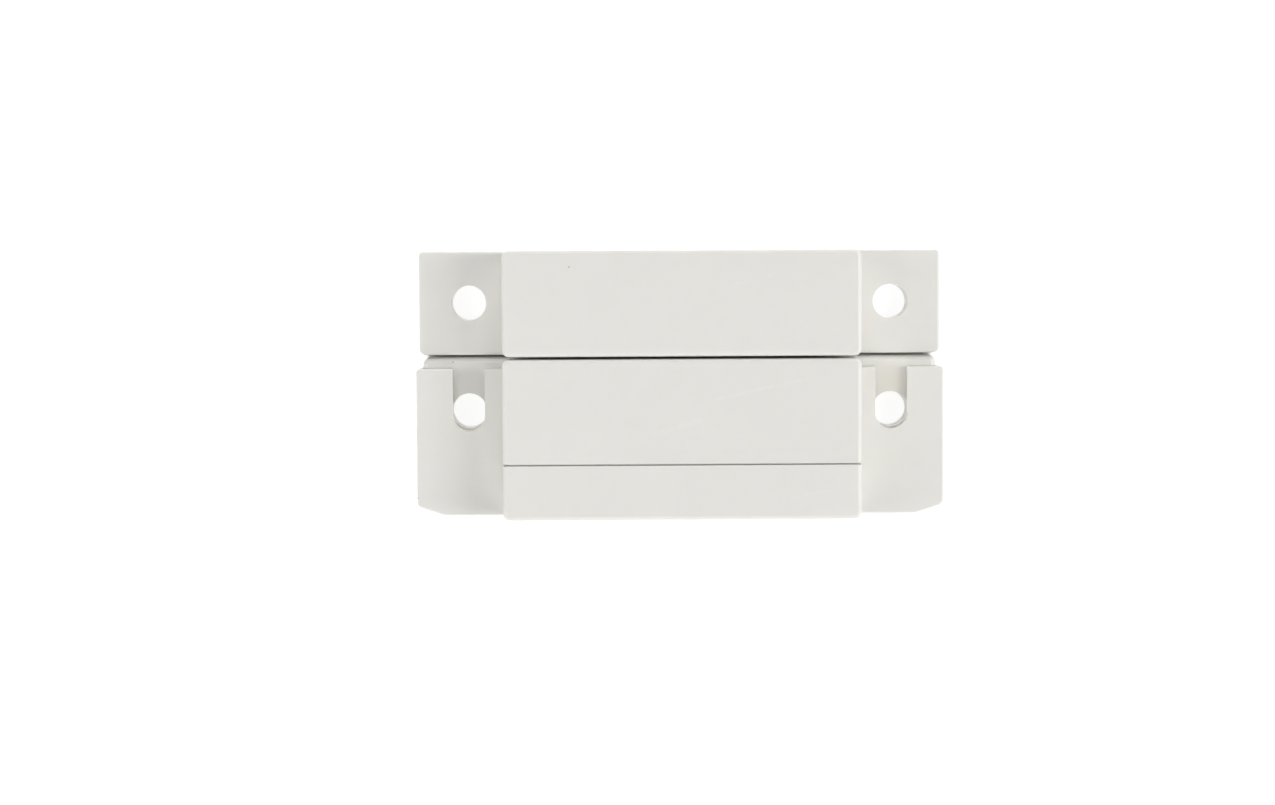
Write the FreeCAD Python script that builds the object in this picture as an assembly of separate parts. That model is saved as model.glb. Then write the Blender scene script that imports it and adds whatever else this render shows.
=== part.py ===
"""Surface-mount magnetic door contact: a switch half with a slide-on terminal cover, and a magnet half.

The two halves lie side by side as they do on a closed door. X runs along them, the magnet half is
towards +Y, and both mounting faces lie on Z = 0. All sizes are in millimetres.
"""

import FreeCAD, Part
import math
import os

Vector = FreeCAD.Vector

# Overall sizes
unit_height = 12.7
block_length = 42.1
reed_block_depth = 12.3
magnet_depth = 12.4
pair_gap = 0.3

# Mounting tabs and holes
base_tab_thickness = 3.0
magnet_tab_thickness = 3.2
hole_radius = 2.1
block_to_hole = 4.4
switch_end_margin = 5.55
magnet_end_margin = 5.95
switch_hole_setback = 6.45
magnet_hole_setback = 6.25

# Reed block and terminal deck of the switch housing
housing_wall = 1.5
deck_height = 6.0
deck_core_wall = 1.2
deck_skin = 1.4
wire_channel_width = 6.4
wire_channel_wall = 1.0
potting_recess = 0.4

# Terminal cover
cover_plate_thickness = 1.2
cover_setback = 1.35
cap_wall = 1.0
cap_back_inset = 0.15
end_skirt = 0.65
split_gap = 0.15
slide_fit = 0.1
floor_gap = 0.1
notch_inset = 0.18
notch_overrun = 0.45
facet_length = 3.4
facet_depth = 1.1
wire_slot_height = 5.2
wire_slot_round = 1.6
guide_rib_depth = 0.4
guide_rib_height = 0.6
guide_rib_level = 1.0
lip_reach = 0.5
lip_thickness = 0.45

# Edge rounds
block_corner_round = 0.8
block_top_round = 0.5
base_corner_round = 0.9
base_edge_round = 0.7
cover_corner_round = 0.8
cover_front_corner_round = 0.35
facet_blend_round = 3.0
cover_edge_round = 0.22
split_edge_round = 0.15
magnet_corner_round = 0.8
magnet_back_corner_round = 0.5
magnet_edge_round = 0.3
cavity_corner_round = 0.6

# Screw terminals
terminal_spacing = 26.0
terminal_plate_width = 5.6
terminal_plate_inset = 0.4
terminal_plate_thickness = 0.8
terminal_tail_width = 2.0
terminal_tail_reach = 2.4
terminal_rib_width = 0.8
terminal_rib_height = 0.9
terminal_margin = 0.15
clamp_washer_margin = 0.1
clamp_washer_thickness = 0.7
clamp_washer_corner = 0.7
screw_head_radius = 2.5
screw_head_height = 1.9
screw_dome_height = 0.9
screw_shank_radius = 1.45
screw_shank_length = 5.6
screw_tip_chamfer = 0.3
screw_fit = 0.1
recess_span = 2.8
recess_width = 0.7
recess_depth = 1.1
slot_span = 3.9
slot_depth = 0.6
boss_wall = 1.1
boss_floor = 1.0

# Reed switch
reed_glass_length = 20.0
reed_glass_radius = 1.35
reed_glass_wall = 0.4
reed_seal_length = 1.4
reed_end_radius = 0.8
reed_end_taper = 0.9
reed_front_margin = 2.15
lead_radius = 0.3
lead_bend_radius = 1.2
lead_inner_reach = 0.7
blade_width = 1.1
blade_thickness = 0.22
blade_overlap = 1.0
contact_gap = 0.1
solder_radius = 0.9
solder_tip_radius = 0.45
solder_height = 1.0
solder_inset = 1.1
solder_film = 0.1

# Magnet and its cradle
magnet_wall = 1.5
magnet_radius = 3.0
magnet_rod_length = 32.0
magnet_rod_chamfer = 0.3
magnet_level = 6.4
cradle_fit = 0.05
cradle_rib_width = 1.2
cradle_spacing = 20.0
end_stop_width = 1.2
end_stop_fit = 0.2
back_plate_thickness = 1.4
back_plate_fit = 0.1
back_plate_recess = 0.1
cradle_parting = 0.3

# Sizes and places worked out from the sizes above
hole_x = block_length / 2 + block_to_hole
base_half = hole_x + switch_end_margin
magnet_half = hole_x + magnet_end_margin
cover_half = base_half + slide_fit + end_skirt
notch_half = hole_radius - notch_inset
clamp_washer_side = 2 * (screw_head_radius + clamp_washer_margin)
deck_depth = clamp_washer_side + 2 * terminal_margin
terminal_plate_depth = clamp_washer_side - terminal_plate_inset
switch_depth = reed_block_depth + deck_depth + slide_fit + cap_wall + cap_back_inset
total_depth = switch_depth + pair_gap + magnet_depth
back_y = -total_depth / 2
switch_front_y = back_y + switch_depth
magnet_front_y = switch_front_y + pair_gap
magnet_back_y = total_depth / 2
block_half = block_length / 2
reed_block_back_y = switch_front_y - reed_block_depth
cap_front_y = reed_block_back_y - split_gap
cap_back_y = back_y + cap_back_inset
cap_inner_back_y = cap_back_y + cap_wall
deck_back_y = cap_inner_back_y + slide_fit
cover_front_y = switch_front_y - cover_setback
cover_plate_bottom = base_tab_thickness + slide_fit
cover_plate_top = cover_plate_bottom + cover_plate_thickness
cap_inner_top = unit_height - cap_wall
deck_half = block_half - cap_wall - slide_fit
terminal_x = terminal_spacing / 2
terminal_y = (reed_block_back_y + deck_back_y) / 2
plate_top = deck_height + terminal_plate_thickness
washer_top = plate_top + clamp_washer_thickness
tail_end_y = reed_block_back_y + housing_wall + terminal_tail_reach
solder_y = tail_end_y - solder_inset
lead_end_y = solder_y - lead_radius
reed_y = switch_front_y - housing_wall - reed_front_margin
reed_z = plate_top + solder_film + lead_radius
switch_hole_y = switch_front_y - switch_hole_setback
magnet_hole_y = magnet_front_y + magnet_hole_setback
magnet_y = (magnet_front_y + magnet_back_y) / 2
cavity_half = block_half - housing_wall
cavity_top = unit_height - housing_wall
magnet_cavity_half = block_half - magnet_wall
magnet_cavity_top = unit_height - magnet_wall
over = 1.0

NODES = {}


def box(x_range, y_range, z_range):
    """A rectangular block between three pairs of limits."""
    low = Vector(x_range[0], y_range[0], z_range[0])
    return Part.makeBox(
        x_range[1] - x_range[0],
        y_range[1] - y_range[0],
        z_range[1] - z_range[0],
        low,
    )


def corner_cut(before, corner, after, radius):
    """The start, middle and end of the arc that rounds one corner of a plan outline."""
    here = Vector(corner[0], corner[1], 0)
    back = (Vector(before[0], before[1], 0) - here).normalize()
    ahead = (Vector(after[0], after[1], 0) - here).normalize()
    half_angle = back.getAngle(ahead) / 2
    run = radius / math.tan(half_angle)
    to_centre = (back + ahead).normalize()
    centre = here + to_centre * (radius / math.sin(half_angle))
    return here + back * run, centre - to_centre * radius, here + ahead * run


def plan_prism(corners, z_low, z_high):
    """A prism over a plan outline, given as (x, y, corner radius) in order round it."""
    ends = []
    edges = []
    count = len(corners)
    for index in range(count):
        before = corners[index - 1]
        corner = corners[index]
        after = corners[(index + 1) % count]
        if corner[2] > 0:
            start, middle, end = corner_cut(before, corner, after, corner[2])
            edges.append(Part.Arc(start, middle, end).toShape())
            ends.append((start, end))
        else:
            point = Vector(corner[0], corner[1], 0)
            ends.append((point, point))
    for index in range(count):
        leave = ends[index][1]
        arrive = ends[(index + 1) % count][0]
        edges.append(Part.LineSegment(leave, arrive).toShape())
    wire = Part.Wire(Part.__sortEdges__(edges))
    face = Part.Face(wire)
    face.translate(Vector(0, 0, z_low))
    return face.extrude(Vector(0, 0, z_high - z_low))


def rectangle(half_x, y_low, y_high, low_round, high_round):
    """The corners of a plan rectangle, centred on X, rounded apart at its two long sides."""
    return [
        (-half_x, y_low, low_round),
        (half_x, y_low, low_round),
        (half_x, y_high, high_round),
        (-half_x, y_high, high_round),
    ]


def faceted(half_x, y_low, y_high, blend_round, side_round, high_round):
    """A plan rectangle whose two corners on the low side are cut by a long shallow facet."""
    return [
        (-half_x + facet_length, y_low, blend_round),
        (half_x - facet_length, y_low, blend_round),
        (half_x, y_low + facet_depth, side_round),
        (half_x, y_high, high_round),
        (-half_x, y_high, high_round),
        (-half_x, y_low + facet_depth, side_round),
    ]


def cylinder(x, y, z_low, z_high, radius):
    """An upright cylinder."""
    return Part.makeCylinder(radius, z_high - z_low, Vector(x, y, z_low))


def rod_x(x_low, x_high, y, z, radius):
    """A cylinder along X."""
    return Part.makeCylinder(radius, x_high - x_low, Vector(x_low, y, z), Vector(1, 0, 0))


def revolve_x(profile, y, z):
    """A solid turned about a line along X, from an outline of (x, radius) points."""
    points = [Vector(x, y + radius, z) for x, radius in profile]
    face = Part.Face(Part.makePolygon(points + points[:1]))
    return face.revolve(Vector(0, y, z), Vector(1, 0, 0), 360)


def round_edges(shape, radius, wanted):
    """The shape with a round on each edge that the test picks by its middle point."""
    edges = []
    for edge in shape.Edges:
        middle = edge.valueAt((edge.FirstParameter + edge.LastParameter) / 2)
        if wanted(middle):
            edges.append(edge)
    return shape.makeFillet(radius, edges)


def near(a, b):
    """Whether two lengths are the same place."""
    return abs(a - b) < 1e-4


def mirror_x(shape):
    """The shape's mirror image in the plane X = 0."""
    return shape.mirror(Vector(0, 0, 0), Vector(1, 0, 0))


def both_sides(shape):
    """The shape joined to its mirror image in the plane X = 0."""
    return [shape, mirror_x(shape)]


def keep(name, shape):
    """Stores one finished piece under its name."""
    NODES[name] = shape.removeSplitter()


def cavity_plan(half_x, y_low, y_high, inset):
    """The plan of a cavity, or of what lies in it with a gap of inset all round."""
    inner_round = cavity_corner_round - min(inset, cavity_corner_round / 2)
    return rectangle(half_x - inset, y_low + inset, y_high - inset, inner_round, inner_round)


def guide_rib():
    """The guide rib on the right end skirt's inner face."""
    skirt_inner = cover_half - end_skirt
    return box(
        (skirt_inner - guide_rib_depth, skirt_inner + end_skirt / 2),
        (back_y + facet_depth + cap_wall, cover_front_y),
        (guide_rib_level, guide_rib_level + guide_rib_height),
    )


def guide_groove():
    """The groove in the right end of the base that the guide rib slides along."""
    skirt_inner = cover_half - end_skirt
    return box(
        (skirt_inner - guide_rib_depth - slide_fit, skirt_inner + over),
        (back_y - over, cover_front_y + slide_fit),
        (guide_rib_level - slide_fit, guide_rib_level + guide_rib_height + slide_fit),
    )


def lip_band(clearance, y_low):
    """The lap lip round the cap's mouth, or with a clearance the groove that it enters."""
    outer_half = block_half - cap_wall + lip_thickness + clearance
    outer_top = cap_inner_top + lip_thickness + clearance
    inner_half = block_half - cap_wall - clearance
    inner_top = cap_inner_top - clearance
    y_high = cap_front_y + split_gap + lip_reach + clearance
    foot = cover_plate_top - clearance
    outer = box((-outer_half, outer_half), (y_low, y_high), (foot, outer_top))
    inner = box((-inner_half, inner_half), (y_low - over, y_high + over), (foot - over, inner_top))
    return outer.cut(inner)


def terminal_tail(x):
    """The tail of a terminal plate, from the plate to the reed cavity."""
    half = terminal_tail_width / 2
    plate_front = terminal_y + terminal_plate_depth / 2
    return box((x - half, x + half), (plate_front - over, tail_end_y), (deck_height, plate_top))


def tail_slot(x):
    """The slot in the reed block's back wall that a terminal tail passes through."""
    half = terminal_tail_width / 2 + slide_fit
    wall_front = reed_block_back_y + housing_wall + over
    z_range = (deck_height, plate_top + slide_fit)
    return box((x - half, x + half), (reed_block_back_y - over, wall_front), z_range)


def deck_cores():
    """The pockets under the right half of the deck, on both sides of the screw boss."""
    boss = screw_shank_radius + screw_fit + boss_wall
    inner_x = wire_channel_width / 2 + wire_channel_wall
    outer_x = deck_half - deck_core_wall
    y_range = (deck_back_y + deck_core_wall, reed_block_back_y - deck_core_wall)
    z_range = (-over, deck_height - deck_skin)
    left = box((inner_x, terminal_x - boss), y_range, z_range)
    right = box((terminal_x + boss, outer_x), y_range, z_range)
    return [left, right]


def terminal_ribs():
    """The two low ribs that keep the right terminal plate from turning."""
    ribs = []
    for side in (-1, 1):
        inner = terminal_x + side * (terminal_plate_width / 2 + slide_fit)
        outer = inner + side * terminal_rib_width
        x_range = (min(inner, outer), max(inner, outer))
        y_range = (deck_back_y, reed_block_back_y + housing_wall / 2)
        ribs.append(box(x_range, y_range, (deck_height - over, deck_height + terminal_rib_height)))
    return ribs


def make_switch_housing():
    """The switch half's moulding: tabs, reed block and terminal deck."""
    base = plan_prism(
        faceted(base_half, deck_back_y, switch_front_y, 0, 0, base_corner_round),
        0,
        base_tab_thickness,
    )
    base = round_edges(
        base,
        base_edge_round,
        lambda p: near(p.z, base_tab_thickness) and p.y > deck_back_y + facet_depth,
    )
    block = plan_prism(
        rectangle(block_half, reed_block_back_y, switch_front_y, 0, block_corner_round),
        0,
        unit_height,
    )
    block = round_edges(
        block,
        block_top_round,
        lambda p: near(p.z, unit_height) and not near(p.y, reed_block_back_y),
    )
    deck = box((-deck_half, deck_half), (deck_back_y, reed_block_back_y + over), (0, deck_height))
    ribs = [rib for piece in terminal_ribs() for rib in both_sides(piece)]
    housing = base.multiFuse([block, deck] + ribs)

    cavity = plan_prism(
        cavity_plan(cavity_half, reed_block_back_y + housing_wall, switch_front_y - housing_wall, 0),
        -over,
        cavity_top,
    )
    channel_half = wire_channel_width / 2
    channel = box(
        (-channel_half, channel_half),
        (deck_back_y - over, reed_block_back_y - wire_channel_wall),
        (-over, deck_height + over),
    )
    screw_bore = cylinder(
        terminal_x, terminal_y, boss_floor, deck_height + over, screw_shank_radius + screw_fit
    )
    mounting_hole = cylinder(hole_x, switch_hole_y, -over, base_tab_thickness + over, hole_radius)
    cuts = [cavity, channel, lip_band(slide_fit, reed_block_back_y - over)]
    for piece in [screw_bore, mounting_hole, tail_slot(terminal_x), guide_groove()] + deck_cores():
        cuts += both_sides(piece)
    keep("switch_housing", housing.cut(cuts))


def make_terminal_cover():
    """The slide-on cover: cap, notched tab plates, end skirts, guide ribs and lap lip."""
    shell_plan = faceted(
        cover_half, back_y, cover_front_y, facet_blend_round, cover_corner_round, cover_front_corner_round
    )
    shell = plan_prism(shell_plan, floor_gap, cover_plate_top)
    shell = round_edges(shell, cover_edge_round, lambda p: near(p.z, cover_plate_top))
    cap = plan_prism(
        rectangle(block_half, cap_back_y, cap_front_y, block_corner_round, 0), floor_gap, unit_height
    )
    cap = round_edges(
        cap, block_top_round, lambda p: near(p.z, unit_height) and not near(p.y, cap_front_y)
    )
    cap = round_edges(
        cap, split_edge_round, lambda p: near(p.z, unit_height) and near(p.y, cap_front_y)
    )
    inside = plan_prism(
        faceted(cover_half - end_skirt, cap_inner_back_y, cover_front_y + over, 0, 0, 0),
        -over,
        cover_plate_bottom,
    )
    cap_inside = box(
        (-block_half + cap_wall, block_half - cap_wall),
        (cap_inner_back_y, cap_front_y + over),
        (-over, cap_inner_top),
    )
    block_room = box(
        (-block_half - slide_fit, block_half + slide_fit),
        (cap_front_y, cover_front_y + over),
        (-over, unit_height + over),
    )
    slot_half = wire_channel_width / 2
    slot_y = (back_y - over, cap_inner_back_y + over)
    wire_slot = box((-slot_half, slot_half), slot_y, (-over, wire_slot_height))
    wire_slot = round_edges(
        wire_slot, wire_slot_round, lambda p: near(p.z, wire_slot_height) and near(abs(p.x), slot_half)
    )
    cover = shell.fuse(cap).cut([inside, cap_inside, block_room, wire_slot])
    cover = cover.cut(both_sides(notch_cutter()))
    cover = cover.multiFuse(both_sides(guide_rib()) + [lip_band(0, cap_front_y - lip_reach)])
    keep("terminal_cover", cover)


def notch_cutter():
    """The right screw notch: straight sides, a half-round end and a slightly rounded mouth."""
    end_y = switch_hole_y - notch_overrun
    x_range = (hole_x - notch_half, hole_x + notch_half)
    z_range = (cover_plate_bottom - over, cover_plate_top + over)
    straight = box(x_range, (end_y, cover_front_y + over), z_range)
    return straight.fuse(cylinder(hole_x, end_y, z_range[0], z_range[1], notch_half))


def make_terminal_plate():
    """The right terminal plate with its tail, drilled for the screw."""
    half_x = terminal_plate_width / 2
    half_y = terminal_plate_depth / 2
    plate = box(
        (terminal_x - half_x, terminal_x + half_x),
        (terminal_y - half_y, terminal_y + half_y),
        (deck_height, plate_top),
    )
    plate = plate.fuse(terminal_tail(terminal_x))
    hole = cylinder(
        terminal_x, terminal_y, deck_height - over, plate_top + over, screw_shank_radius + screw_fit / 2
    )
    return plate.cut(hole)


def make_clamp_washer():
    """The right square clamp washer with cut corners."""
    half = clamp_washer_side / 2
    washer = box(
        (terminal_x - half, terminal_x + half),
        (terminal_y - half, terminal_y + half),
        (plate_top, washer_top),
    )
    uprights = [edge for edge in washer.Edges if near(edge.BoundBox.ZLength, clamp_washer_thickness)]
    washer = washer.makeChamfer(clamp_washer_corner, uprights)
    bore = cylinder(
        terminal_x, terminal_y, plate_top - over, washer_top + over, screw_shank_radius + screw_fit
    )
    return washer.cut(bore)


def make_terminal_screw():
    """The right terminal screw: raised head with a cross recess and a slot, plain shank."""
    head_top = washer_top + screw_head_height
    edge_top = head_top - screw_dome_height
    shank_end = washer_top - screw_shank_length
    tip_radius = screw_shank_radius - screw_tip_chamfer
    crown_radius = screw_head_radius - screw_dome_height
    outline = [
        (0, head_top),
        (0, shank_end),
        (tip_radius, shank_end),
        (screw_shank_radius, shank_end + screw_tip_chamfer),
        (screw_shank_radius, washer_top),
        (screw_head_radius, washer_top),
        (screw_head_radius, edge_top),
        (crown_radius, head_top),
    ]
    points = [Vector(terminal_x + radius, terminal_y, z) for radius, z in outline]
    section = Part.makePolygon(points + points[:1])
    screw = Part.Face(section).revolve(points[0], Vector(0, 0, 1), 360)
    cross_half = recess_span / 2
    arm_half = recess_width / 2
    x_arm = box(
        (terminal_x - cross_half, terminal_x + cross_half),
        (terminal_y - arm_half, terminal_y + arm_half),
        (head_top - recess_depth, head_top + over),
    )
    y_arm = box(
        (terminal_x - arm_half, terminal_x + arm_half),
        (terminal_y - cross_half, terminal_y + cross_half),
        (head_top - recess_depth, head_top + over),
    )
    slot = box(
        (terminal_x - slot_span / 2, terminal_x + slot_span / 2),
        (terminal_y - arm_half, terminal_y + arm_half),
        (head_top - slot_depth, head_top + over),
    )
    return screw.cut([x_arm, y_arm, slot])


def tapered_tube(half_length, radius, end_radius, taper):
    """A cylinder on the reed's line, drawn in to a smaller radius at both ends."""
    profile = [
        (-half_length, 0),
        (-half_length, end_radius),
        (taper - half_length, radius),
        (half_length - taper, radius),
        (half_length, end_radius),
        (half_length, 0),
    ]
    return revolve_x(profile, reed_y, reed_z)


def glass_envelope():
    """The outside of the reed switch's glass, filled in."""
    return tapered_tube(reed_glass_length / 2, reed_glass_radius, reed_end_radius, reed_end_taper)


def make_reed_blade():
    """The right reed: a flat blade in the glass and a round lead whose bend is drawn as its chord."""
    chamber_half = reed_glass_length / 2 - reed_seal_length
    lead_start = chamber_half - lead_inner_reach
    route = [
        Vector(lead_start, reed_y, reed_z),
        Vector(terminal_x - lead_bend_radius, reed_y, reed_z),
        Vector(terminal_x, reed_y - lead_bend_radius, reed_z),
        Vector(terminal_x, lead_end_y, reed_z),
    ]
    profile = Part.Wire(Part.makeCircle(lead_radius, route[0], Vector(1, 0, 0)))
    lead = Part.makePolygon(route).makePipeShell([profile], True, False, 1)
    blade = box(
        (-blade_overlap / 2, lead_start + lead_inner_reach / 2),
        (reed_y - blade_width / 2, reed_y + blade_width / 2),
        (reed_z + contact_gap / 2, reed_z + contact_gap / 2 + blade_thickness),
    )
    return lead.fuse(blade)


def turn_in_glass(shape):
    """The same reed at the other end of the glass, with its blade under the first one's."""
    other_end = mirror_x(shape)
    return other_end.mirror(Vector(0, 0, reed_z), Vector(0, 0, 1))


def make_reed_glass(blades):
    """The glass tube: a sealed chamber with an end seal round each lead."""
    chamber_half = reed_glass_length / 2 - reed_seal_length
    chamber_radius = reed_glass_radius - reed_glass_wall
    chamber_end_radius = reed_end_radius - reed_glass_wall / 2
    chamber = tapered_tube(chamber_half, chamber_radius, chamber_end_radius, reed_glass_wall)
    return glass_envelope().cut([chamber] + blades)


def solder_cone(x):
    """The filled outside of one solder joint, standing on a terminal tail."""
    foot = Vector(x, solder_y, plate_top)
    return Part.makeCone(solder_radius, solder_tip_radius, solder_height, foot)


def make_potting(inner_pieces):
    """The resin that fills the reed cavity, cast round everything in it."""
    y_low = reed_block_back_y + housing_wall
    y_high = switch_front_y - housing_wall
    resin = plan_prism(cavity_plan(cavity_half, y_low, y_high, 0), potting_recess, cavity_top)
    return resin.cut(inner_pieces)


def cradle_stations():
    """The X places of the cradle ribs."""
    return (-cradle_spacing / 2, cradle_spacing / 2)


def magnet_bed(clearance):
    """The magnet rod's outline, grown by a clearance."""
    half = magnet_rod_length / 2 + clearance
    return rod_x(-half, half, magnet_y, magnet_level, magnet_radius + clearance)


def make_magnet_housing():
    """The magnet half's moulding: tabs, block, upper cradle ribs and end stops."""
    base = plan_prism(
        rectangle(
            magnet_half, magnet_front_y, magnet_back_y, magnet_corner_round, magnet_back_corner_round
        ),
        0,
        magnet_tab_thickness,
    )
    base = round_edges(base, magnet_edge_round, lambda p: near(p.z, magnet_tab_thickness))
    block = plan_prism(
        rectangle(block_half, magnet_front_y, magnet_back_y, block_corner_round, block_corner_round),
        0,
        unit_height,
    )
    block = round_edges(block, block_top_round, lambda p: near(p.z, unit_height))
    cavity = plan_prism(
        cavity_plan(magnet_cavity_half, magnet_front_y + magnet_wall, magnet_back_y - magnet_wall, 0),
        -over,
        magnet_cavity_top,
    )
    hole = cylinder(hole_x, magnet_hole_y, -over, magnet_tab_thickness + over, hole_radius)
    housing = base.fuse(block).cut([cavity] + both_sides(hole))
    y_range = (magnet_front_y + magnet_wall / 2, magnet_back_y - magnet_wall / 2)
    ribs = []
    for x in cradle_stations():
        x_range = (x - cradle_rib_width / 2, x + cradle_rib_width / 2)
        ribs.append(box(x_range, y_range, (magnet_level, magnet_cavity_top + magnet_wall / 2)))
    stop_inner = magnet_rod_length / 2 + end_stop_fit
    stop_foot = back_plate_recess + back_plate_thickness + cradle_parting
    stop = box(
        (stop_inner, stop_inner + end_stop_width), y_range, (stop_foot, magnet_cavity_top + magnet_wall / 2)
    )
    housing = housing.multiFuse(ribs + both_sides(stop))
    keep("magnet_housing", housing.cut(magnet_bed(cradle_fit)))


def make_magnet_back_plate():
    """The plate that closes the magnet cavity, with the lower cradle ribs."""
    y_low = magnet_front_y + magnet_wall
    y_high = magnet_back_y - magnet_wall
    plate_top_z = back_plate_recess + back_plate_thickness
    plate = plan_prism(
        cavity_plan(magnet_cavity_half, y_low, y_high, back_plate_fit), back_plate_recess, plate_top_z
    )
    ribs = []
    for x in cradle_stations():
        x_range = (x - cradle_rib_width / 2, x + cradle_rib_width / 2)
        y_range = (y_low + back_plate_fit * 2, y_high - back_plate_fit * 2)
        z_range = (plate_top_z - back_plate_thickness / 2, magnet_level - cradle_parting)
        ribs.append(box(x_range, y_range, z_range))
    plate = plate.multiFuse(ribs).cut(magnet_bed(cradle_fit))
    keep("magnet_back_plate", plate)


def make_magnet_rod():
    """The permanent magnet: a plain rod with broken ends."""
    half = magnet_rod_length / 2
    rod = magnet_bed(0)
    ends = [edge for edge in rod.Edges if near(edge.BoundBox.XLength, 0)]
    keep("magnet_rod", rod.makeChamfer(magnet_rod_chamfer, ends))


def make_terminals():
    """Both screw terminals, the left one a mirror image of the right."""
    makers = {
        "terminal_plate": make_terminal_plate,
        "clamp_washer": make_clamp_washer,
        "terminal_screw": make_terminal_screw,
    }
    for name, maker in makers.items():
        right = maker()
        keep(name + "_right", right)
        keep(name + "_left", mirror_x(right))


def make_reed_switch():
    """The reed switch, its solder joints and the resin round them."""
    right = make_reed_blade()
    left = turn_in_glass(right)
    keep("reed_blade_right", right)
    keep("reed_blade_left", left)
    keep("reed_glass", make_reed_glass([right, left]))
    tails = [terminal_tail(terminal_x), terminal_tail(-terminal_x)]
    cones = [solder_cone(terminal_x), solder_cone(-terminal_x)]
    keep("solder_joint_right", cones[0].cut(right))
    keep("solder_joint_left", cones[1].cut(left))
    keep("potting_compound", make_potting([glass_envelope(), right, left] + tails + cones))


def main():
    """Builds every piece and writes one file for each."""
    make_switch_housing()
    make_terminals()
    make_reed_switch()
    make_terminal_cover()
    make_magnet_housing()
    make_magnet_rod()
    make_magnet_back_plate()
    os.makedirs("parts", exist_ok=True)
    for name, shape in NODES.items():
        print(name, "solids", len(shape.Solids), "valid", shape.isValid(), "volume", round(shape.Volume, 2))
        shape.exportStep("parts/" + name + ".step")


main()
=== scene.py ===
"""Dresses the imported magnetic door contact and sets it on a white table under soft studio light.

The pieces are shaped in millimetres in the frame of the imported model, and turned into metres when
they are placed. The finishes read the place on a piece in millimetres as well.
"""

from __future__ import annotations

import logging
import math
from collections.abc import Callable, Sequence
from dataclasses import dataclass
from enum import Enum

import bmesh
import bpy
from mathutils import Matrix, Vector


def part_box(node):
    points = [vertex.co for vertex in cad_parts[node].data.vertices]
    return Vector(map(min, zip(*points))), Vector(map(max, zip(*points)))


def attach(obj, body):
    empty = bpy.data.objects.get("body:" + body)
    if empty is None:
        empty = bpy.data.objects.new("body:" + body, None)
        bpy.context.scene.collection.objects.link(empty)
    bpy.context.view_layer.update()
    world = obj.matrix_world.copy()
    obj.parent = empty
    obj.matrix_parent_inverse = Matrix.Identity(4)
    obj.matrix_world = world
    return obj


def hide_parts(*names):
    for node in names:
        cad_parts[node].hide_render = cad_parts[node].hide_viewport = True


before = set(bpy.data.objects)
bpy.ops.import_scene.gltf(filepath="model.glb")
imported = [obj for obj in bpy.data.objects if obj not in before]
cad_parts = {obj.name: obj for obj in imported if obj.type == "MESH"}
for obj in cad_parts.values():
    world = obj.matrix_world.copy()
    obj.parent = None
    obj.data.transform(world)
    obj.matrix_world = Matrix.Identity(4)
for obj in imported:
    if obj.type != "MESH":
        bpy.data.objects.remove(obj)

log = logging.getLogger("door_contact")

MM = 0.001
Triple = tuple[float, float, float]
Colour = tuple[float, float, float, float]
WHITE: Colour = (1.0, 1.0, 1.0, 1.0)


class Body(Enum):
    """The bodies that pieces ride on."""

    SWITCH = "switch_unit"
    COVER = "cover_unit"
    MAGNET = "magnet_unit"


class Side(Enum):
    """The two ends of the contact, with the sign of X there."""

    LEFT = -1
    RIGHT = 1

    @property
    def word(self) -> str:
        """The side's name in lower case, as in the names of the pieces."""
        return self.name.lower()


class Carving(Enum):
    """What becomes of a shape where another one meets it."""

    CUT = "DIFFERENCE"
    JOIN = "UNION"


class Term:
    """One output of a shader graph. Python's operators on it add Math nodes."""

    def __init__(self, graph: Graph, socket: bpy.types.NodeSocket | None) -> None:
        """Keeps the graph that the socket belongs to."""
        self.graph = graph
        self.socket = socket

    def math(self, operation: str, *values: Term | float) -> Term:
        """Adds a Math node on the values, in their order."""
        return self.graph.add("ShaderNodeMath", {"operation": operation}, dict(enumerate(values)))

    def __add__(self, other: Term | float) -> Term:
        """The sum."""
        return self.math("ADD", self, other)

    def __radd__(self, other: float) -> Term:
        """The sum, from the right."""
        return self.math("ADD", other, self)

    def __sub__(self, other: Term | float) -> Term:
        """The difference."""
        return self.math("SUBTRACT", self, other)

    def __rsub__(self, other: float) -> Term:
        """The difference, from the right."""
        return self.math("SUBTRACT", other, self)

    def __mul__(self, other: Term | float) -> Term:
        """The product."""
        return self.math("MULTIPLY", self, other)

    def __rmul__(self, other: float) -> Term:
        """The product, from the right."""
        return self.math("MULTIPLY", other, self)

    def __truediv__(self, other: Term | float) -> Term:
        """The quotient."""
        return self.math("DIVIDE", self, other)

    def __rtruediv__(self, other: float) -> Term:
        """The quotient, from the right."""
        return self.math("DIVIDE", other, self)


Socket = Term | float | Triple | Colour


def opaque(colour: Triple) -> Colour:
    """The colour with a full fourth channel, as a colour socket takes it."""
    return (*colour, 1.0)


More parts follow.
